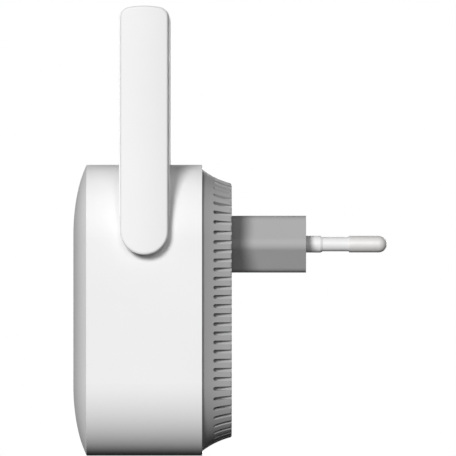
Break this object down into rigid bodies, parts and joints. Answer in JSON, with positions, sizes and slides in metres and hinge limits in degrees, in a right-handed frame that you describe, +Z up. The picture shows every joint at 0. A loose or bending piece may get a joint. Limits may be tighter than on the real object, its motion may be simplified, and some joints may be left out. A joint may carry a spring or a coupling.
{
  "type": "wifi range extender",
  "caption": "Plug-in wifi range extender: square cushion-fronted housing with a vent-ribbed back, a two-pin mains plug and folding side antennas.",
  "frame": {"origin": "where the plug's axis meets the housing's flat back face", "axes": "+Z up, the front faces -Y, the plug points +Y, and X is the width"},
  "size_m": [0.079, 0.0755, 0.108],
  "materials": {
    "shell_white": "fine satin moulded plastic",
    "shell_grey": "light grey fine-grained moulded plastic",
    "plug_grey": "light grey moulded plastic",
    "button_white": "satin moulded plastic",
    "antenna_white": "smooth satin moulded plastic",
    "hub_white": "satin moulded plastic",
    "sleeve_white": "smooth insulating sleeve",
    "pin_nickel": "nickel-plated brass",
    "contact_brass": "plain",
    "screw_steel": "zinc-plated",
    "can_steel": "tinned steel",
    "board_green": "solder mask over glass-fibre board",
    "chip_black": "moulded epoxy",
    "opto_white": "moulded epoxy",
    "capacitor_sleeve": "shrink sleeve",
    "ferrite": "sintered ferrite",
    "coil_tape": "polyester tape",
    "ceramic_blue": "dipped ceramic",
    "light_window": "translucent moulded plastic",
    "pad_grey": "soft gap filler",
    "spreader_aluminium": "plain sheet",
    "sheet_paper": "fish paper",
    "washer_acetal": "acetal",
    "lead_black": "thin coaxial jacket"
  },
  "bodies": {
    "housing": {"front_shell": "shell_white", "rear_shell": "shell_grey", "plug_block": "plug_grey", "plug_block_screws": "screw_steel", "housing_screws": "screw_steel", "board_screws": "screw_steel", "light_pipe": "light_window", "tact_switch": "chip_black", "power_board": "board_green", "main_board": "board_green", "bridge_rectifier": "chip_black", "power_controller": "chip_black", "optocoupler": "opto_white", "bulk_capacitors": "capacitor_sleeve", "output_capacitor": "capacitor_sleeve", "filter_inductor": "ferrite", "transformer_core": "ferrite", "transformer_coil": "coil_tape", "fuse_resistor": "ceramic_blue", "y_capacitor": "ceramic_blue", "power_header": "chip_black", "power_socket": "chip_black", "wifi_chip": "chip_black", "flash_chip": "chip_black", "crystal": "can_steel", "status_light": "light_window", "thermal_pad": "pad_grey", "heat_spreader": "spreader_aluminium", "insulating_sheet": "sheet_paper", "shield_can": "can_steel", "coax_connectors": "contact_brass", "plug_pin_left": "pin_nickel", "pin_sleeve_left": "sleeve_white", "mains_tab_left": "contact_brass", "friction_washer_left": "washer_acetal", "antenna_pigtail_left": "lead_black", "plug_pin_right": "pin_nickel", "pin_sleeve_right": "sleeve_white", "mains_tab_right": "contact_brass", "friction_washer_right": "washer_acetal", "antenna_pigtail_right": "lead_black"},
    "antenna_left": {"antenna_outer_shell_left": "antenna_white", "antenna_inner_shell_left": "antenna_white", "hinge_hub_left": "hub_white", "hinge_clip_left": "can_steel", "antenna_element_left": "board_green", "antenna_lead_left": "lead_black"},
    "antenna_right": {"antenna_outer_shell_right": "antenna_white", "antenna_inner_shell_right": "antenna_white", "hinge_hub_right": "hub_white", "hinge_clip_right": "can_steel", "antenna_element_right": "board_green", "antenna_lead_right": "lead_black"},
    "button": {"reset_button": "button_white", "switch_plunger": "chip_black"}
  },
  "joints": [
    {"name": "antenna_left_hinge", "type": "hinge", "parent": "housing", "child": "antenna_left", "pos_m": [-0.035, -0.02095, 0.0032], "axis": [1, 0, 0], "range_deg": [0, 180]},
    {"name": "antenna_right_hinge", "type": "hinge", "parent": "housing", "child": "antenna_right", "pos_m": [0.035, -0.02095, 0.0032], "axis": [1, 0, 0], "range_deg": [0, 180]},
    {"name": "reset_button_press", "type": "slide", "parent": "housing", "child": "button", "axis": [0, 0, 1], "range_m": [0, 0.0005], "stiffness_N_per_m": 1500, "springref_m": -0.0003}
  ]
}
